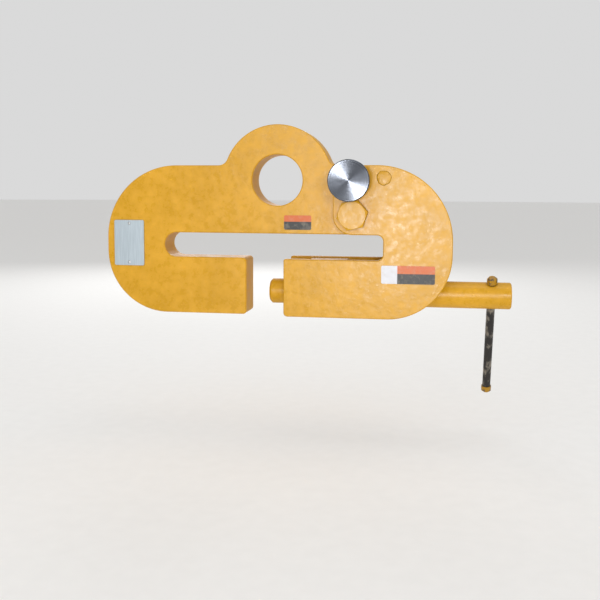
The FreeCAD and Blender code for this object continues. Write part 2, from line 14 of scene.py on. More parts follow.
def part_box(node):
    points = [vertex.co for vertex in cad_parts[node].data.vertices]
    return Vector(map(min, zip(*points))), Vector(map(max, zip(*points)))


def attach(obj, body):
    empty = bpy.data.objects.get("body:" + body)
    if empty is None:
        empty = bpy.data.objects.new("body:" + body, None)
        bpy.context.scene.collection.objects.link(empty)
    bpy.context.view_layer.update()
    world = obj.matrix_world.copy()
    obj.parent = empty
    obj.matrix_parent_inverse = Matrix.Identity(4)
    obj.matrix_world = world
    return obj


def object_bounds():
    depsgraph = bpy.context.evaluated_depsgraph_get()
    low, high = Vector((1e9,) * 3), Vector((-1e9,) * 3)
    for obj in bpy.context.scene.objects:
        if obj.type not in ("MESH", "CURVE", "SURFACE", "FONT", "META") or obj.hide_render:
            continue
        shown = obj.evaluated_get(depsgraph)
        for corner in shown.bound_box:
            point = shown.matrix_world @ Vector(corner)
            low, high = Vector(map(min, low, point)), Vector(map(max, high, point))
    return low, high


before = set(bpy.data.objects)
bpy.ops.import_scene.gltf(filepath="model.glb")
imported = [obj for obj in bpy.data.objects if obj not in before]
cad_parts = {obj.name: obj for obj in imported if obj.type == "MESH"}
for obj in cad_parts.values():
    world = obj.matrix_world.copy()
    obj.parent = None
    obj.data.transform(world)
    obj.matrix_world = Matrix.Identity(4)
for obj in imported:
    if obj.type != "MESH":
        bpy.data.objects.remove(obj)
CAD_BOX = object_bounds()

bl_info = {
    "name": "Beam Clamp Finishes",
    "version": (1, 0, 0),
    "blender": (4, 5, 0),
    "location": "3D View > Sidebar > Beam Clamp",
    "description": "Paint, bare metal, tag, labels, weld beads and stage of a beam clamp",
    "category": "Object",
}

MM = 0.001
# sockets of the colour Mix node, whose names repeat for each of its data types
MIX_FACTOR, MIX_A, MIX_B, MIX_RESULT = 0, 6, 7, 2
# finishes that several operators share
SPRAYED_ENAMEL = "enamel_gloss_sprayed"
ZINC_PLATE = "steel_zinc_plated"
TURNED_BRONZE = "bronze_turned"


# ---------------------------------------------------------------- colours and nodes
def linear(hex_colour):
    """An sRGB hex colour as linear red, green, blue."""
    parts = [int(hex_colour[i:i + 2], 16) / 255 for i in (0, 2, 4)]
    return tuple(c / 12.92 if c <= 0.04045 else ((c + 0.055) / 1.055) ** 2.4 for c in parts)


def opaque(colour, shade=1.0):
    """A linear colour, darker where shade is under 1, with the alpha that sockets want."""
    return tuple(c * shade for c in colour) + (1.0,)


def add_node(tree, kind, inputs=None, **settings):
    """Adds a node with its settings; each input is a number, a colour or a socket to link."""
    node = tree.nodes.new(kind)
    for name, value in settings.items():
        setattr(node, name, value)
    for key, value in (inputs or {}).items():
        if isinstance(value, bpy.types.NodeSocket):
            tree.links.new(value, node.inputs[key])
        else:
            node.inputs[key].default_value = value
    return node


def new_material(name):
    """An empty node material, and its tree."""
    material = bpy.data.materials.new(name)
    material.use_nodes = True
    material.node_tree.nodes.clear()
    return material, material.node_tree


def finish_material(tree, inputs):
    """Ends the tree with a Principled shader that has these inputs."""
    shader = add_node(tree, "ShaderNodeBsdfPrincipled", inputs)
    add_node(tree, "ShaderNodeOutputMaterial", {"Surface": shader.outputs["BSDF"]})


def per_metre(millimetres):
    """Noise scale that gives features about this many millimetres across."""
    return 1.0 / (millimetres * MM)


def paint_nodes(material, *names):
    """Gives CAD nodes their finish."""
    for name in names:
        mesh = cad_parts[name].data
        mesh.materials.clear()
        mesh.materials.append(material)


def add_to_scene(scene, name, data):
    """A new object in the scene."""
    thing = bpy.data.objects.new(name, data)
    scene.collection.objects.link(thing)
    return thing


def centre_of(name):
    """Middle of a CAD node's box."""
    low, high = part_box(name)
    return (low + high) / 2


# ---------------------------------------------------------------- user's settings
class PaintSettings(bpy.types.PropertyGroup):
    """The sprayed enamel on the plates and the other yellow parts"""
    colour: bpy.props.FloatVectorProperty(
        name="Enamel colour", description="Colour of the sprayed enamel on the plates",
        subtype="COLOR", size=3, min=0.0, max=1.0, default=linear("CB9508"))
    roughness: bpy.props.FloatProperty(
        name="Enamel roughness", description="How far the enamel's gloss is blurred",
        default=0.30, min=0.05, max=1.0, subtype="FACTOR")
    wear: bpy.props.FloatProperty(
        name="Edge wear", description="How far the enamel is rubbed through along the edges",
        default=0.35, min=0.0, max=1.0, subtype="FACTOR")


class MetalSettings(bpy.types.PropertyGroup):
    """The bare turned steel of the lock pin and its knob"""
    knob_colour: bpy.props.FloatVectorProperty(
        name="Knob colour", description="Colour of the bare turned steel",
        subtype="COLOR", size=3, min=0.0, max=1.0, default=linear("6A6E76"))
    turning_pitch: bpy.props.FloatProperty(
        name="Turning marks", description="Spacing of the lathe marks on the knob",
        default=1.6 * MM, min=0.2 * MM, max=3 * MM, subtype="DISTANCE", unit="LENGTH")


class WeldSettings(bpy.types.PropertyGroup):
    """The weld beads that hold the swinging jaw together"""
    radius: bpy.props.FloatProperty(
        name="Bead radius", description="Half the width of a weld bead",
        default=2.6 * MM, min=1 * MM, max=3 * MM, subtype="DISTANCE", unit="LENGTH")
    ripple: bpy.props.FloatProperty(
        name="Ripple spacing", description="Distance from one weld ripple to the next",
        default=2.4 * MM, min=1 * MM, max=8 * MM, subtype="DISTANCE", unit="LENGTH")


class StageSettings(bpy.types.PropertyGroup):
    """The floor and the lights"""
    floor_drop: bpy.props.FloatProperty(
        name="Floor drop", description="Gap from the clamp's lowest point down to the floor",
        default=0.06, min=0.03, max=1.0, subtype="DISTANCE", unit="LENGTH")
    key_power: bpy.props.FloatProperty(
        name="Key light", description="Power of the light at the front right", default=12.5,
        min=0.0, max=500.0, subtype="POWER", unit="POWER")
    room_light: bpy.props.FloatProperty(
        name="Room light", description="Strength of the even light from all round",
        default=0.70, min=0.0, max=5.0)


# ---------------------------------------------------------------- finishes
def enamel_film(tree, colour, clouds, blotches, nibs):
    """The enamel's own colour: uneven with the film's thickness, and darker on the nibs."""
    mottle = add_node(tree, "ShaderNodeMath", {0: clouds, 1: blotches}, operation="ADD")
    tone = add_node(tree, "ShaderNodeMapRange",
                    {"Value": mottle.outputs[0], "From Min": 0.75, "From Max": 1.25})
    pale = tuple(min(1.0, c * 1.05 + 0.012) for c in colour)
    film = add_node(tree, "ShaderNodeMix",
                    {MIX_FACTOR: tone.outputs[0], MIX_A: opaque(colour, 0.86),
                     MIX_B: opaque(pale)}, data_type="RGBA").outputs[MIX_RESULT]
    dirt = add_node(tree, "ShaderNodeMath", {0: nibs, 1: 0.35}, operation="MULTIPLY")
    return add_node(tree, "ShaderNodeMix",
                    {MIX_FACTOR: dirt.outputs[0], MIX_A: film, MIX_B: opaque(colour, 0.55)},
                    data_type="RGBA").outputs[MIX_RESULT]


def enamel_nibs(tree, place, clouds):
    """A mask of small dust nibs and pinholes, which gather in some of the clouds.

    Real ones are a few tenths of a millimetre wide, which is too fine to show, so they are
    drawn about 1 mm wide and 7 mm apart.
    """
    cells = add_node(tree, "ShaderNodeTexVoronoi",
                     {"Vector": place, "Scale": per_metre(7)}).outputs["Distance"]
    spots = add_node(tree, "ShaderNodeMapRange",
                     {"Value": cells, "From Min": 0.05, "From Max": 0.11,
                      "To Min": 1.0, "To Max": 0.0})
    patches = add_node(tree, "ShaderNodeMapRange",
                       {"Value": clouds, "From Min": 0.48, "From Max": 0.62})
    return add_node(tree, "ShaderNodeMath", {0: spots.outputs[0], 1: patches.outputs[0]},
                    operation="MULTIPLY").outputs[0]


def enamel_rubs(tree, place, geometry, wear):
    """A mask of the places along the edges where the enamel is rubbed through."""
    # an edge is where a rounded normal leaves the true one
    rounded = add_node(tree, "ShaderNodeBevel", {"Radius": 1.3 * MM}, samples=6)
    agree = add_node(tree, "ShaderNodeVectorMath",
                     {0: geometry.outputs["Normal"], 1: rounded.outputs["Normal"]},
                     operation="DOT_PRODUCT").outputs["Value"]
    edge = add_node(tree, "ShaderNodeMapRange",
                    {"Value": agree, "From Min": 0.97, "From Max": 0.80}).outputs[0]
    # the rubs break up in scuffs about 6 mm across, and more wear leaves fewer gaps
    scuffs = add_node(tree, "ShaderNodeTexNoise",
                      {"Vector": place, "Scale": per_metre(6), "Detail": 6.0,
                       "Roughness": 0.7}).outputs["Fac"]
    gap_end = 0.66 - 0.30 * wear
    rubbed = add_node(tree, "ShaderNodeMapRange",
                      {"Value": scuffs, "From Min": gap_end,
                       "From Max": gap_end + 0.06}).outputs[0]
    return add_node(tree, "ShaderNodeMath", {0: edge, 1: rubbed}, operation="MULTIPLY").outputs[0]


def enamel_relief(tree, place, nibs, on_cut):
    """The enamel's bumps: wavy plate, orange peel, nibs and flame-cut drag lines."""
    # orange peel is about 1 mm across, which is too fine to show, so it is drawn 3.5 mm across
    peel = add_node(tree, "ShaderNodeTexNoise",
                    {"Vector": place, "Scale": per_metre(3.5), "Detail": 2.0}).outputs["Fac"]
    # the plate under it is wavy in patches about 16 mm across
    waves = add_node(tree, "ShaderNodeTexNoise",
                     {"Vector": place, "Scale": per_metre(16), "Detail": 3.0,
                      "Roughness": 0.55}).outputs["Fac"]
    # drag lines of the flame cut run through the plate, about 2.4 mm apart, on the edges only
    stretched = add_node(tree, "ShaderNodeMapping", {"Vector": place, "Scale": (1.0, 0.06, 1.0)})
    drags = add_node(tree, "ShaderNodeTexNoise",
                     {"Vector": stretched.outputs["Vector"], "Scale": per_metre(2.4),
                      "Detail": 2.0}).outputs["Fac"]
    cut = add_node(tree, "ShaderNodeMath", {0: drags, 1: on_cut}, operation="MULTIPLY")
    skin = add_node(tree, "ShaderNodeBump",
                    {"Height": waves, "Strength": 0.38, "Distance": 1.2 * MM}).outputs["Normal"]
    for height, strength, distance in ((peel, 0.12, 0.6 * MM), (nibs, 0.35, 0.5 * MM),
                                       (cut.outputs[0], 0.4, 0.8 * MM)):
        skin = add_node(tree, "ShaderNodeBump",
                        {"Height": height, "Strength": strength, "Distance": distance,
                         "Normal": skin}).outputs["Normal"]
    return skin


def sprayed_enamel(colour, roughness, wear):
    """Gloss enamel sprayed over flame-cut plate.

    It is glossy with a slight orange peel, a little uneven in tone, rougher and with drag
    lines on the cut edges, and rubbed through to dull brown scale in places along them.
    """
    material, tree = new_material(SPRAYED_ENAMEL)
    place = add_node(tree, "ShaderNodeTexCoord").outputs["Object"]
    geometry = add_node(tree, "ShaderNodeNewGeometry")
    # the film's thickness varies in clouds about 70 mm and blotches about 9 mm across
    clouds = add_node(tree, "ShaderNodeTexNoise",
                      {"Vector": place, "Scale": per_metre(70), "Detail": 3.0}).outputs["Fac"]
    blotches = add_node(tree, "ShaderNodeTexNoise",
                        {"Vector": place, "Scale": per_metre(9), "Detail": 4.0,
                         "Roughness": 0.6}).outputs["Fac"]
    nibs = enamel_nibs(tree, place, clouds)
    rubs = enamel_rubs(tree, place, geometry, wear)
    # whatever doesn't face along Y counts as a cut edge, and so do the sides of round parts
    facing = add_node(tree, "ShaderNodeSeparateXYZ",
                      {"Vector": geometry.outputs["True Normal"]}).outputs["Y"]
    facing = add_node(tree, "ShaderNodeMath", {0: facing}, operation="ABSOLUTE").outputs[0]
    on_cut = add_node(tree, "ShaderNodeMapRange",
                      {"Value": facing, "From Min": 0.75, "From Max": 0.55}).outputs[0]
    # painted shade: the enamel is darkened towards dark brown within 3 mm of the corners and
    # seams, where ambient occlusion finds them shut in
    open_sky = add_node(tree, "ShaderNodeAmbientOcclusion", {"Distance": 3.0 * MM}, samples=8)
    corner_shade = add_node(tree, "ShaderNodeMapRange",
                     {"Value": open_sky.outputs["AO"], "From Min": 0.85, "From Max": 0.35,
                      "To Max": 0.6}).outputs[0]
    base = enamel_film(tree, colour, clouds, blotches, nibs)
    # the first tint is painted shade in the corners and seams; the second is the dull brown scale
    # where the enamel is rubbed through
    for mask, tint in ((corner_shade, "4A3413"), (rubs, "6B5A3C")):
        base = add_node(tree, "ShaderNodeMix",
                        {MIX_FACTOR: mask, MIX_A: base, MIX_B: opaque(linear(tint))},
                        data_type="RGBA").outputs[MIX_RESULT]
    rough = add_node(tree, "ShaderNodeMapRange",
                     {"Value": blotches, "From Min": 0.35, "From Max": 0.65,
                      "To Min": roughness * 0.8, "To Max": roughness * 1.25}).outputs[0]
    for mask, added in ((rubs, 0.3), (on_cut, 0.2)):
        extra = add_node(tree, "ShaderNodeMapRange", {"Value": mask, "To Max": added}).outputs[0]
        rough = add_node(tree, "ShaderNodeMath", {0: rough, 1: extra},
                         operation="ADD").outputs[0]
    finish_material(tree, {"Base Color": base, "Roughness": rough, "IOR": 1.5,
                           "Specular IOR Level": 0.38,
                           "Normal": enamel_relief(tree, place, nibs, on_cut)})
    return material


def turned_steel(colour, spacing, centre):
    """Bare steel faced in a lathe.

    Fine rings round its axis, which lies along Y, stretch each reflection into streaks that
    run out from the middle, and its tone varies from ring to ring. Real lathe marks are
    about 0.3 mm apart, which is too fine to show, so spacing draws them coarser.
    """
    material, tree = new_material("steel_face_turned")
    place = add_node(tree, "ShaderNodeTexCoord").outputs["Object"]
    from_centre = add_node(tree, "ShaderNodeVectorMath",
                           {0: place, 1: tuple(centre)}, operation="SUBTRACT").outputs["Vector"]
    from_axis = add_node(tree, "ShaderNodeVectorMath", {0: from_centre, 1: (1.0, 0.0, 1.0)},
                         operation="MULTIPLY").outputs["Vector"]
    radius = add_node(tree, "ShaderNodeVectorMath", {0: from_axis}, operation="LENGTH")
    rings = add_node(tree, "ShaderNodeTexNoise",
                     {"W": radius.outputs["Value"], "Scale": 1.0 / spacing, "Detail": 3.0,
                      "Roughness": 0.7}, noise_dimensions="1D").outputs["Fac"]
    tone = add_node(tree, "ShaderNodeMix",
                    {MIX_FACTOR: rings, MIX_A: opaque(colour, 0.35), MIX_B: opaque(colour)},
                    data_type="RGBA").outputs[MIX_RESULT]
    # handling stains, about 12 mm across
    stains = add_node(tree, "ShaderNodeTexNoise",
                      {"Vector": place, "Scale": per_metre(12), "Detail": 5.0}).outputs["Fac"]
    rough = add_node(tree, "ShaderNodeMapRange",
                     {"Value": stains, "From Min": 0.35, "From Max": 0.7,
                      "To Min": 0.18, "To Max": 0.22}).outputs[0]
    marks = add_node(tree, "ShaderNodeBump",
                     {"Height": rings, "Strength": 0.12, "Distance": 0.3 * MM}).outputs["Normal"]
    grain = add_node(tree, "ShaderNodeTangent", direction_type="RADIAL", axis="Y")
    finish_material(tree, {"Base Color": tone, "Metallic": 1.0, "Roughness": rough,
                           "Anisotropic": 0.88, "Anisotropic Rotation": 0.25,
                           "Tangent": grain.outputs["Tangent"], "Normal": marks})
    return material


def greased_steel():
    """Machined steel rod with a film of old grease: dark, with soft uneven shine."""
    material, tree = new_material("machined_steel_greased")
    place = add_node(tree, "ShaderNodeTexCoord").outputs["Object"]
    # grease gathers in smears about 8 mm across
    smears = add_node(tree, "ShaderNodeTexNoise",
                      {"Vector": place, "Scale": per_metre(8), "Detail": 4.0}).outputs["Fac"]
    mask = add_node(tree, "ShaderNodeMapRange",
                    {"Value": smears, "From Min": 0.42, "From Max": 0.6}).outputs[0]
    colour = add_node(tree, "ShaderNodeMix",
                      {MIX_FACTOR: mask, MIX_A: opaque(linear("8C8B86")),
                       MIX_B: opaque(linear("3B342A"))}, data_type="RGBA").outputs[MIX_RESULT]
    metal = add_node(tree, "ShaderNodeMapRange",
                     {"Value": mask, "To Min": 1.0, "To Max": 0.25}).outputs[0]
    rough = add_node(tree, "ShaderNodeMapRange",
                     {"Value": mask, "To Min": 0.32, "To Max": 0.22}).outputs[0]
    film = add_node(tree, "ShaderNodeBump",
                    {"Height": smears, "Strength": 0.2, "Distance": 0.4 * MM})
    finish_material(tree, {"Base Color": colour, "Metallic": metal, "Roughness": rough,
                           "Normal": film.outputs["Normal"]})
    return material


def zinc_plate():
    """Zinc plating on small steel parts: bright and even, with a faint cloudy bloom."""
    material, tree = new_material(ZINC_PLATE)
    place = add_node(tree, "ShaderNodeTexCoord").outputs["Object"]
    # bloom in clouds about 4 mm across
    bloom = add_node(tree, "ShaderNodeTexNoise",
                     {"Vector": place, "Scale": per_metre(4), "Detail": 4.0}).outputs["Fac"]
    colour = add_node(tree, "ShaderNodeMix",
                      {MIX_FACTOR: bloom, MIX_A: opaque(linear("D6D7D6")),
                       MIX_B: opaque(linear("A4A8AC"))}, data_type="RGBA").outputs[MIX_RESULT]
    rough = add_node(tree, "ShaderNodeMapRange",
                     {"Value": bloom, "To Min": 0.22, "To Max": 0.45}).outputs[0]
    finish_material(tree, {"Base Color": colour, "Metallic": 1.0, "Roughness": rough})
    return material


def black_oxide():
    """Black-oxide steel bar, worn by sliding: dark, with pale scuffs drawn out along it."""
    material, tree = new_material("steel_black_oxide_scuffed")
    place = add_node(tree, "ShaderNodeTexCoord").outputs["Object"]
    # scuffs about 3.5 mm wide and five times as long, which gather in patches about 22 mm
    # across; they are drawn out along Z, because the bar stands nearly upright
    along = add_node(tree, "ShaderNodeMapping", {"Vector": place, "Scale": (1.0, 1.0, 0.2)})
    scuffs = add_node(tree, "ShaderNodeTexNoise",
                      {"Vector": along.outputs["Vector"], "Scale": per_metre(3.5),
                       "Detail": 6.0, "Roughness": 0.65}).outputs["Fac"]
    patches = add_node(tree, "ShaderNodeTexNoise",
                       {"Vector": place, "Scale": per_metre(22), "Detail": 2.0}).outputs["Fac"]
    both = add_node(tree, "ShaderNodeMath", {0: scuffs, 1: patches}, operation="ADD")
    worn = add_node(tree, "ShaderNodeMapRange",
                    {"Value": both.outputs[0], "From Min": 1.06, "From Max": 1.22}).outputs[0]
    colour = add_node(tree, "ShaderNodeMix",
                      {MIX_FACTOR: worn, MIX_A: opaque(linear("2A2725")),
                       MIX_B: opaque(linear("8A8378"))}, data_type="RGBA").outputs[MIX_RESULT]
    metal = add_node(tree, "ShaderNodeMapRange",
                     {"Value": worn, "To Min": 0.35, "To Max": 0.9}).outputs[0]
    rough = add_node(tree, "ShaderNodeMapRange",
                     {"Value": worn, "To Min": 0.5, "To Max": 0.33}).outputs[0]
    scored = add_node(tree, "ShaderNodeBump",
                      {"Height": scuffs, "Strength": 0.25, "Distance": 0.3 * MM})
    finish_material(tree, {"Base Color": colour, "Metallic": metal, "Roughness": rough,
                           "Normal": scored.outputs["Normal"]})
    return material


def worn_enamel(colour):
    """Hand-painted enamel on the bar's caps, worn through to dull brown steel in patches."""
    material, tree = new_material("enamel_brushed_worn")
    place = add_node(tree, "ShaderNodeTexCoord").outputs["Object"]
    # patches about 6 mm across, with ragged edges
    chips = add_node(tree, "ShaderNodeTexNoise",
                     {"Vector": place, "Scale": per_metre(6), "Detail": 7.0,
                      "Roughness": 0.7}).outputs["Fac"]
    bare = add_node(tree, "ShaderNodeMapRange",
                    {"Value": chips, "From Min": 0.52, "From Max": 0.56}).outputs[0]
    shade = add_node(tree, "ShaderNodeMix",
                     {MIX_FACTOR: chips, MIX_A: opaque(colour, 0.5),
                      MIX_B: opaque(colour, 0.75)}, data_type="RGBA").outputs[MIX_RESULT]
    base = add_node(tree, "ShaderNodeMix",
                    {MIX_FACTOR: bare, MIX_A: shade, MIX_B: opaque(linear("5C5142"))},
                    data_type="RGBA").outputs[MIX_RESULT]
    metal = add_node(tree, "ShaderNodeMapRange", {"Value": bare, "To Max": 0.4}).outputs[0]
    rough = add_node(tree, "ShaderNodeMapRange",
                     {"Value": bare, "To Min": 0.38, "To Max": 0.45}).outputs[0]
    step = add_node(tree, "ShaderNodeBump",
                    {"Height": bare, "Strength": 0.5, "Distance": -0.15 * MM})
    finish_material(tree, {"Base Color": base, "Metallic": metal, "Roughness": rough,
                           "Normal": step.outputs["Normal"]})
    return material


def brushed_aluminium():
    """Aluminium sheet brushed upright: satin, with fine upright streaks."""
    material, tree = new_material("aluminium_brushed")
    place = add_node(tree, "ShaderNodeTexCoord").outputs["Object"]
    # brushing is about 0.2 mm wide, which is too fine to show, so it is drawn 1.2 mm wide
    upright = add_node(tree, "ShaderNodeMapping", {"Vector": place, "Scale": (1.0, 1.0, 0.04)})
    streaks = add_node(tree, "ShaderNodeTexNoise",
                       {"Vector": upright.outputs["Vector"], "Scale": per_metre(1.2),
                        "Detail": 4.0, "Roughness": 0.6}).outputs["Fac"]
    colour = add_node(tree, "ShaderNodeMix",
                      {MIX_FACTOR: streaks, MIX_A: opaque(linear("8E9AA2")),
                       MIX_B: opaque(linear("C3CDD3"))}, data_type="RGBA").outputs[MIX_RESULT]
    rough = add_node(tree, "ShaderNodeMapRange",
                     {"Value": streaks, "To Min": 0.34, "To Max": 0.5}).outputs[0]
    scratch = add_node(tree, "ShaderNodeBump",
                       {"Height": streaks, "Strength": 0.15, "Distance": 0.2 * MM})
    finish_material(tree, {"Base Color": colour, "Metallic": 0.85, "Roughness": rough,
                           "Normal": scratch.outputs["Normal"]})
    return material


def turned_bronze():
    """Bronze bearing metal turned smooth: warm and satin, a little darkened by oil."""
    material, tree = new_material(TURNED_BRONZE)
    place = add_node(tree, "ShaderNodeTexCoord").outputs["Object"]
    # oil stains about 10 mm across
    stains = add_node(tree, "ShaderNodeTexNoise",
                      {"Vector": place, "Scale": per_metre(10), "Detail": 4.0}).outputs["Fac"]
    colour = add_node(tree, "ShaderNodeMix",
                      {MIX_FACTOR: stains, MIX_A: opaque(linear("B98A4A")),
                       MIX_B: opaque(linear("7C5A30"))}, data_type="RGBA").outputs[MIX_RESULT]
    rough = add_node(tree, "ShaderNodeMapRange",
                     {"Value": stains, "To Min": 0.25, "To Max": 0.42}).outputs[0]
    finish_material(tree, {"Base Color": colour, "Metallic": 1.0, "Roughness": rough})
    return material


def printed_vinyl(name, low, high, panel_share):
    """Blank printed vinyl label: an orange band over black, beside a pale panel.

    It has a soft plastic gloss and a few rubbed spots. low and high are the corners of its
    box, and the panel takes panel_share of its width.
    """
    material, tree = new_material(name)
    place = add_node(tree, "ShaderNodeTexCoord").outputs["Object"]
    across = add_node(tree, "ShaderNodeSeparateXYZ", {"Vector": place}).outputs
    black_share = 0.56
    band_foot = low.z + black_share * (high.z - low.z)
    panel_side = low.x + panel_share * (high.x - low.x)
    ink_edge = 0.15 * MM
    in_band = add_node(tree, "ShaderNodeMapRange",
                       {"Value": across["Z"], "From Min": band_foot - ink_edge,
                        "From Max": band_foot + ink_edge}).outputs[0]
    in_panel = add_node(tree, "ShaderNodeMapRange",
                        {"Value": across["X"], "From Min": panel_side + ink_edge,
                         "From Max": panel_side - ink_edge}).outputs[0]
    print_colour = add_node(tree, "ShaderNodeMix",
                            {MIX_FACTOR: in_band, MIX_A: opaque(linear("151413")),
                             MIX_B: opaque(linear("C45A12"))},
                            data_type="RGBA").outputs[MIX_RESULT]
    print_colour = add_node(tree, "ShaderNodeMix",
                            {MIX_FACTOR: in_panel, MIX_A: print_colour,
                             MIX_B: opaque(linear("CBCBD0"))},
                            data_type="RGBA").outputs[MIX_RESULT]
    # rubbed spots about 5 mm across
    rubs = add_node(tree, "ShaderNodeTexNoise",
                    {"Vector": place, "Scale": per_metre(5), "Detail": 5.0}).outputs["Fac"]
    rubbed = add_node(tree, "ShaderNodeMapRange",
                      {"Value": rubs, "From Min": 0.5, "From Max": 0.8,
                       "To Max": 0.35}).outputs[0]
    base = add_node(tree, "ShaderNodeMix",
                    {MIX_FACTOR: rubbed, MIX_A: print_colour, MIX_B: opaque(linear("B9AE9C"))},
                    data_type="RGBA").outputs[MIX_RESULT]
    rough = add_node(tree, "ShaderNodeMapRange",
                     {"Value": rubs, "To Min": 0.25, "To Max": 0.5}).outputs[0]
    finish_material(tree, {"Base Color": base, "Roughness": rough, "IOR": 1.46})
    return material


def moulded_rubber():
    """Black nitrile rubber, moulded: matt, with a faint grey bloom."""
    material, tree = new_material("nitrile_rubber_moulded")
    place = add_node(tree, "ShaderNodeTexCoord").outputs["Object"]
    # bloom in clouds about 3 mm across
    bloom = add_node(tree, "ShaderNodeTexNoise",
                     {"Vector": place, "Scale": per_metre(3), "Detail": 3.0}).outputs["Fac"]
    colour = add_node(tree, "ShaderNodeMix",
                      {MIX_FACTOR: bloom, MIX_A: opaque(linear("161616")),
                       MIX_B: opaque(linear("2E2D2C"))}, data_type="RGBA").outputs[MIX_RESULT]
    finish_material(tree, {"Base Color": colour, "Roughness": 0.7, "IOR": 1.52})
    return material


def studio_floor():
    """Matt white floor paint, rolled: almost even, with a faint soft stipple."""
    material, tree = new_material("floor_paint_rolled")
    place = add_node(tree, "ShaderNodeTexCoord").outputs["Object"]
    # roller stipple is about 2 mm across, which is too fine to show, so it is drawn 20 mm across
    stipple = add_node(tree, "ShaderNodeTexNoise",
                       {"Vector": place, "Scale": per_metre(20), "Detail": 3.0}).outputs["Fac"]
    colour = add_node(tree, "ShaderNodeMix",
                      {MIX_FACTOR: stipple, MIX_A: opaque(linear("EDECEA")),
                       MIX_B: opaque(linear("F3F2F0"))}, data_type="RGBA").outputs[MIX_RESULT]
    finish_material(tree, {"Base Color": colour, "Roughness": 0.9, "IOR": 1.45})
    return material


def shared(name, make):
    """The finish of this name, made when it is first asked for and then used again."""
    return bpy.data.materials.get(name) or make()


def shared_enamel(scene):
    """The plates' enamel, with the user's settings."""
    paint = scene.clamp_paint
    return shared(SPRAYED_ENAMEL, lambda: sprayed_enamel(tuple(paint.colour), paint.roughness,
                                                         paint.wear))


# ---------------------------------------------------------------- weld beads
def skin_rings(bm, rings, closed=False):
    """Joins rings of vertices with quads, in a loop or with a cap on each end."""
    sides = len(rings[0])
    pairs = list(zip(rings, rings[1:]))
    if closed:
        pairs.append((rings[-1], rings[0]))
    for first, second in pairs:
        for k in range(sides):
            after = (k + 1) % sides
            bm.faces.new((first[k], first[after], second[after], second[k]))
    if not closed:
        bm.faces.new(reversed(rings[0]))
        bm.faces.new(rings[-1])


def bead_stations(path, step, closed):
    """Places along a path, about a step apart: middle, direction and distance travelled."""
    stations = []
    travelled = 0.0
    for a, b in zip(path, path[1:]):
        length = (b - a).length
        forward = (b - a).normalized()
        count = max(1, round(length / step))
        for number in range(count):
            share = number / count
            stations.append((a.lerp(b, share), forward, travelled + length * share))
        travelled += length
    if not closed:
        stations.append((path[-1], forward, travelled))
    return stations, travelled


def bead_mesh(bm, path, radius, ripple, closed=False):
    """Adds one rippled weld bead along a path in a plane of constant Y.

    A path that is closed ends where it starts. An open one tapers at both ends.
    """
    sides = 12
    rings_per_ripple = 5
    ripple_depth = 0.20
    taper = 1.2 * radius
    blunt = 0.02 * radius
    # the bead swells and thins in two waves, about 20 and 50 mm long: share of the radius,
    # radians per metre and phase
    waves = ((0.05, 310.0, 0.0), (0.04, 127.0, 1.0))
    stations, total = bead_stations(path, ripple / rings_per_ripple, closed)
    rings = []
    for middle, forward, along in stations:
        size = radius * (1 - ripple_depth + ripple_depth * abs(math.cos(math.pi * along / ripple)))
        size *= 1 + sum(swell * math.sin(along * rate + phase) for swell, rate, phase in waves)
        if not closed:
            from_end = max(min(along, total - along), blunt)
            size *= min(1.0, math.sqrt(from_end / taper))
        across = forward.cross(Vector((0.0, 1.0, 0.0))).normalized()
        up = forward.cross(across)
        rings.append([bm.verts.new(middle + size * (math.cos(turn) * across
                                                    + math.sin(turn) * up))
                      for turn in (2 * math.pi * k / sides for k in range(sides))])
    skin_rings(bm, rings, closed)


def add_to_jaw(name, bm, material, smooth_caps=False):
    """Makes an object of the mesh, riding on the swinging jaw, with its quads shaded smooth."""
    bmesh.ops.recalc_face_normals(bm, faces=bm.faces)
    for face in bm.faces:
        face.smooth = smooth_caps or len(face.verts) == 4
    mesh = bpy.data.meshes.new(name)
    bm.to_mesh(mesh)
    bm.free()
    mesh.materials.append(material)
    piece = add_to_scene(bpy.context.scene, name, mesh)
    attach(piece, "swinging_jaw")


def weld_piece(name, paths, radius, ripple, material, closed=False):
    """One object with a bead along each path."""
    bm = bmesh.new()
    for path in paths:
        bead_mesh(bm, path, radius, ripple, closed)
    add_to_jaw(name, bm, material)


def plug_weld(name, centre, radius, height, material):
    """A round weld ground nearly flush: a low dome with a wandering rim, on the front cheek."""
    rows = 10
    sides = 40
    swirl = 0.06
    # the rim wanders in waves: share of the radius, waves round the rim and phase
    waves = ((0.03, 3, 0.7), (0.02, 7, 0.0))
    bm = bmesh.new()
    rings = []
    for row in range(rows):
        inward = row / rows
        ring = []
        for k in range(sides):
            turn = 2 * math.pi * k / sides
            rim = 1 + sum(swell * math.sin(count * turn + phase)
                          for swell, count, phase in waves)
            out = radius * (1 - inward) * rim
            # five low arms turn with the row, as the last pass of a weld does
            rise = height * math.sqrt(inward) * (1 + swirl * math.sin(5 * turn + 9 * inward))
            ring.append(bm.verts.new((centre.x + out * math.cos(turn), centre.y - rise,
                                      centre.z + out * math.sin(turn))))
        rings.append(ring)
    skin_rings(bm, rings)
    add_to_jaw(name, bm, material, smooth_caps=True)


def arc_path(centre_x, centre_z, radius, first, last, y):
    """Points along an arc in a plane of constant Y, from one angle to another, in degrees."""
    steps = 48
    angles = [math.radians(first + (last - first) * k / steps) for k in range(steps + 1)]
    return [Vector((centre_x + radius * math.cos(a), y, centre_z + radius * math.sin(a)))
            for a in angles]


# ---------------------------------------------------------------- stage
def add_floor(scene, height):
    """A round floor, wide enough for its rim to lie far behind the clamp."""
    mesh = bpy.data.meshes.new("studio_floor")
    bm = bmesh.new()
    bmesh.ops.create_circle(bm, cap_ends=True, segments=96, radius=30.0)
    bm.to_mesh(mesh)
    bm.free()
    mesh.materials.append(studio_floor())
    floor = add_to_scene(scene, "studio_floor", mesh)
    floor.location = (0.0, 0.0, height)


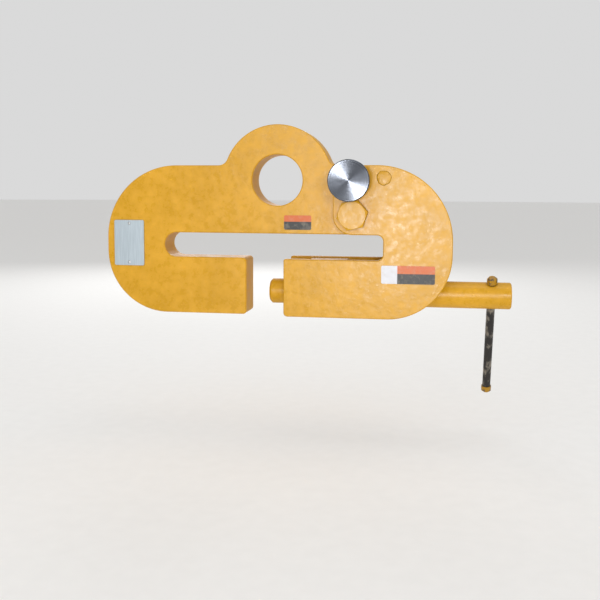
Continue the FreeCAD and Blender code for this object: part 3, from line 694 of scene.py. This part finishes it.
def add_lights(scene, middle, key_power):
    """Round soft lights, each a share of the key light's power."""
    # name, place, aim, width, share
    lights = (
        ("key_light", (0.72, -2.3, 0.34), (0.0, 0.0, -0.06), 0.4, 1.0),
        ("glare_light", (0.063, -2.4, -0.162), (0.15, 0.0, -0.06), 0.24, 1.1),
        ("streak_light", (-0.42, -2.4, 0.30), (0.1, 0.0, 0.0), 0.24, 0.28),
        ("top_light", (0.5, -0.1, 1.9), middle, 1.2, 0.4),
        ("rear_light", (-0.6, 2.2, 0.9), middle, 1.2, 1.1),
    )
    for name, place, aim, width, share in lights:
        data = bpy.data.lights.new(name, "AREA")
        data.shape = "DISK"
        data.size = width
        data.energy = share * key_power
        lamp = add_to_scene(scene, name, data)
        lamp.location = place
        toward = Vector(aim) - Vector(place)
        lamp.rotation_euler = toward.to_track_quat("-Z", "Y").to_euler()


def add_room(scene, strength):
    """Even white light from all round."""
    world = bpy.data.worlds.new("studio_room")
    world.use_nodes = True
    world.node_tree.nodes.clear()
    room = add_node(world.node_tree, "ShaderNodeBackground",
                    {"Color": opaque(linear("FFFFFF")), "Strength": strength})
    add_node(world.node_tree, "ShaderNodeOutputWorld",
             {"Surface": room.outputs["Background"]})
    scene.world = world


def add_camera(scene):
    """The camera, in front of the clamp and a little to the right, looking slightly down."""
    place = (0.2022, -1.0692, -0.0153)
    turn, tilt, roll = (math.radians(angle) for angle in (8.54, 4.81, 0.32))
    data = bpy.data.cameras.new("camera")
    data.sensor_width = 36.0
    data.lens = 48.0
    data.shift_x = -0.017
    data.shift_y = -0.068
    data.clip_end = 200.0
    camera = add_to_scene(scene, "camera", data)
    aim = Euler((math.pi / 2 - tilt, 0.0, turn)).to_matrix().to_4x4()
    camera.matrix_world = Matrix.Translation(place) @ aim @ Matrix.Rotation(roll, 4, "Z")
    scene.camera = camera


# ---------------------------------------------------------------- operators
class CLAMP_OT_plates(bpy.types.Operator):
    """Sprays the main plate, both cheeks and the blocks between them with gloss enamel"""
    bl_idname = "clamp.plates"
    bl_label = "Plates"

    def execute(self, context):
        paint_nodes(shared_enamel(context.scene), "main_plate", "front_jaw_cheek",
                    "rear_jaw_cheek", "spine_spacer", "nut_block", "guide_block")
        return {"FINISHED"}


class CLAMP_OT_hinge(bpy.types.Operator):
    """Finishes the hinge bolt, its washer, its nut and its bush"""
    bl_idname = "clamp.hinge"
    bl_label = "Hinge"

    def execute(self, context):
        paint_nodes(shared_enamel(context.scene), "hinge_bolt", "hinge_washer", "hinge_nut")
        paint_nodes(shared(TURNED_BRONZE, turned_bronze), "hinge_bush")
        return {"FINISHED"}


class CLAMP_OT_lock_pin(bpy.types.Operator):
    """Finishes the lock pin with its knob, its sleeve and its friction ring"""
    bl_idname = "clamp.lock_pin"
    bl_label = "Lock pin"

    def execute(self, context):
        metal = context.scene.clamp_metal
        steel = turned_steel(tuple(metal.knob_colour), metal.turning_pitch,
                             centre_of("lock_pin_knob"))
        paint_nodes(steel, "lock_pin_knob", "lock_pin")
        paint_nodes(shared_enamel(context.scene), "lock_pin_sleeve")
        paint_nodes(moulded_rubber(), "lock_pin_friction_ring")
        return {"FINISHED"}


class CLAMP_OT_screw(bpy.types.Operator):
    """Finishes the clamping screw, its tube, pad, lead nut, roll pin and end plug"""
    bl_idname = "clamp.screw"
    bl_label = "Clamping screw"

    def execute(self, context):
        paint_nodes(shared_enamel(context.scene), "drive_tube", "tube_end_plug",
                    "pressure_pad")
        paint_nodes(greased_steel(), "clamp_screw")
        paint_nodes(shared(TURNED_BRONZE, turned_bronze), "lead_nut")
        paint_nodes(shared(ZINC_PLATE, zinc_plate), "tube_roll_pin")
        return {"FINISHED"}


class CLAMP_OT_tommy_bar(bpy.types.Operator):
    """Finishes the tommy bar and its two worn caps"""
    bl_idname = "clamp.tommy_bar"
    bl_label = "Tommy bar"

    def execute(self, context):
        paint_nodes(black_oxide(), "tommy_bar")
        paint_nodes(worn_enamel(tuple(context.scene.clamp_paint.colour)),
                    "tommy_bar_top_cap", "tommy_bar_bottom_cap")
        return {"FINISHED"}


class CLAMP_OT_tag(bpy.types.Operator):
    """Finishes the blank rating tag and its drive screws"""
    bl_idname = "clamp.tag"
    bl_label = "Rating tag"

    def execute(self, context):
        paint_nodes(brushed_aluminium(), "rating_tag")
        paint_nodes(shared(ZINC_PLATE, zinc_plate), "tag_drive_screws")
        return {"FINISHED"}


class CLAMP_OT_labels(bpy.types.Operator):
    """Prints the two blank vinyl labels"""
    bl_idname = "clamp.labels"
    bl_label = "Blank labels"

    def execute(self, context):
        for node, panel_share in (("mouth_label", 0.0), ("jaw_label", 0.3)):
            low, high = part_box(node)
            paint_nodes(printed_vinyl(f"vinyl_printed_{node}", low, high, panel_share), node)
        return {"FINISHED"}


class CLAMP_OT_welds(bpy.types.Operator):
    """Adds the weld beads of the spacer, the blocks and the sleeve, and the plug weld"""
    bl_idname = "clamp.welds"
    bl_label = "Weld beads"

    def execute(self, context):
        weld = context.scene.clamp_weld
        enamel = shared_enamel(context.scene)
        # a bead's middle lies this share of its radius off the face that it runs along
        sunk_share = 0.25
        # the beads between the cheeks lie in the corners, at the cheeks' inner faces
        half_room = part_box("spine_spacer")[1].y - sunk_share * weld.radius
        inner_faces = (-half_room, half_room)

        # the spacer's outer side is an arc a little inside the cheeks' rounded end
        cheek_low, cheek_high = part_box("front_jaw_cheek")
        end_radius = 98 * MM
        spacer_inset = 4 * MM
        spine_first, spine_last = -3, 68    # degrees above X
        spine = [arc_path(cheek_high.x - end_radius, cheek_high.z - end_radius,
                          end_radius - spacer_inset, spine_first, spine_last, y)
                 for y in inner_faces]
        weld_piece("weld_beads_spine", spine, weld.radius, weld.ripple, enamel)

        for block in ("nut_block", "guide_block"):
            low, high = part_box(block)
            upright = [[Vector((x, y, low.z + weld.radius)),
                        Vector((x, y, high.z - weld.radius))]
                       for x in (low.x, high.x) for y in inner_faces]
            weld_piece(f"weld_beads_{block}", upright, weld.radius, weld.ripple, enamel)

        # a smaller bead runs round the sleeve, where it stands on the front cheek
        low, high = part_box("lock_pin_sleeve")
        pin = centre_of("lock_pin_sleeve")
        small = 0.6 * weld.radius
        ring = arc_path(pin.x, pin.z, (high.x - low.x) / 2, 0, 360,
                        high.y - sunk_share * small)
        weld_piece("weld_bead_sleeve", [ring], small, weld.ripple, enamel, closed=True)

        # the plug weld stands to the right of the lock pin and a little above it
        plug_right, plug_up = 42 * MM, 4 * MM
        plug_radius, plug_height = 9.5 * MM, 0.9 * MM
        plug_at = Vector((pin.x + plug_right, cheek_low.y, pin.z + plug_up))
        plug_weld("plug_weld_cheek", plug_at, plug_radius, plug_height, enamel)
        return {"FINISHED"}


class CLAMP_OT_stage(bpy.types.Operator):
    """Adds the pale floor, the soft lights and the camera"""
    bl_idname = "clamp.stage"
    bl_label = "Stage"

    def execute(self, context):
        scene = context.scene
        stage = scene.clamp_stage
        low, high = CAD_BOX
        add_floor(scene, low.z - stage.floor_drop)
        add_lights(scene, (low + high) / 2, stage.key_power)
        add_room(scene, stage.room_light)
        scene.view_settings.view_transform = "Standard"
        add_camera(scene)
        return {"FINISHED"}


class CLAMP_PT_panel(bpy.types.Panel):
    """Lists the clamp's settings and its operators"""
    bl_label = "Beam Clamp"
    bl_idname = "CLAMP_PT_panel"
    bl_space_type = "VIEW_3D"
    bl_region_type = "UI"
    bl_category = "Beam Clamp"

    def draw(self, context):
        scene = context.scene
        for group in (scene.clamp_paint, scene.clamp_metal, scene.clamp_weld,
                      scene.clamp_stage):
            column = self.layout.column(align=True)
            for name in group.__annotations__:
                column.prop(group, name)
        for operator in OPERATORS:
            self.layout.operator(operator.bl_idname)


SETTINGS = (("clamp_paint", PaintSettings), ("clamp_metal", MetalSettings),
            ("clamp_weld", WeldSettings), ("clamp_stage", StageSettings))
OPERATORS = (CLAMP_OT_plates, CLAMP_OT_hinge, CLAMP_OT_lock_pin, CLAMP_OT_screw,
             CLAMP_OT_tommy_bar, CLAMP_OT_tag, CLAMP_OT_labels, CLAMP_OT_welds,
             CLAMP_OT_stage)


def register():
    for name, group in SETTINGS:
        bpy.utils.register_class(group)
        setattr(bpy.types.Scene, name, bpy.props.PointerProperty(type=group))
    for operator in OPERATORS:
        bpy.utils.register_class(operator)
    bpy.utils.register_class(CLAMP_PT_panel)


def unregister():
    bpy.utils.unregister_class(CLAMP_PT_panel)
    for operator in reversed(OPERATORS):
        bpy.utils.unregister_class(operator)
    for name, group in reversed(SETTINGS):
        delattr(bpy.types.Scene, name)
        bpy.utils.unregister_class(group)


def main():
    register()
    bpy.ops.clamp.plates()
    bpy.ops.clamp.hinge()
    bpy.ops.clamp.lock_pin()
    bpy.ops.clamp.screw()
    bpy.ops.clamp.tommy_bar()
    bpy.ops.clamp.tag()
    bpy.ops.clamp.labels()
    bpy.ops.clamp.welds()
    bpy.ops.clamp.stage()


if __name__ == "__main__":
    main()
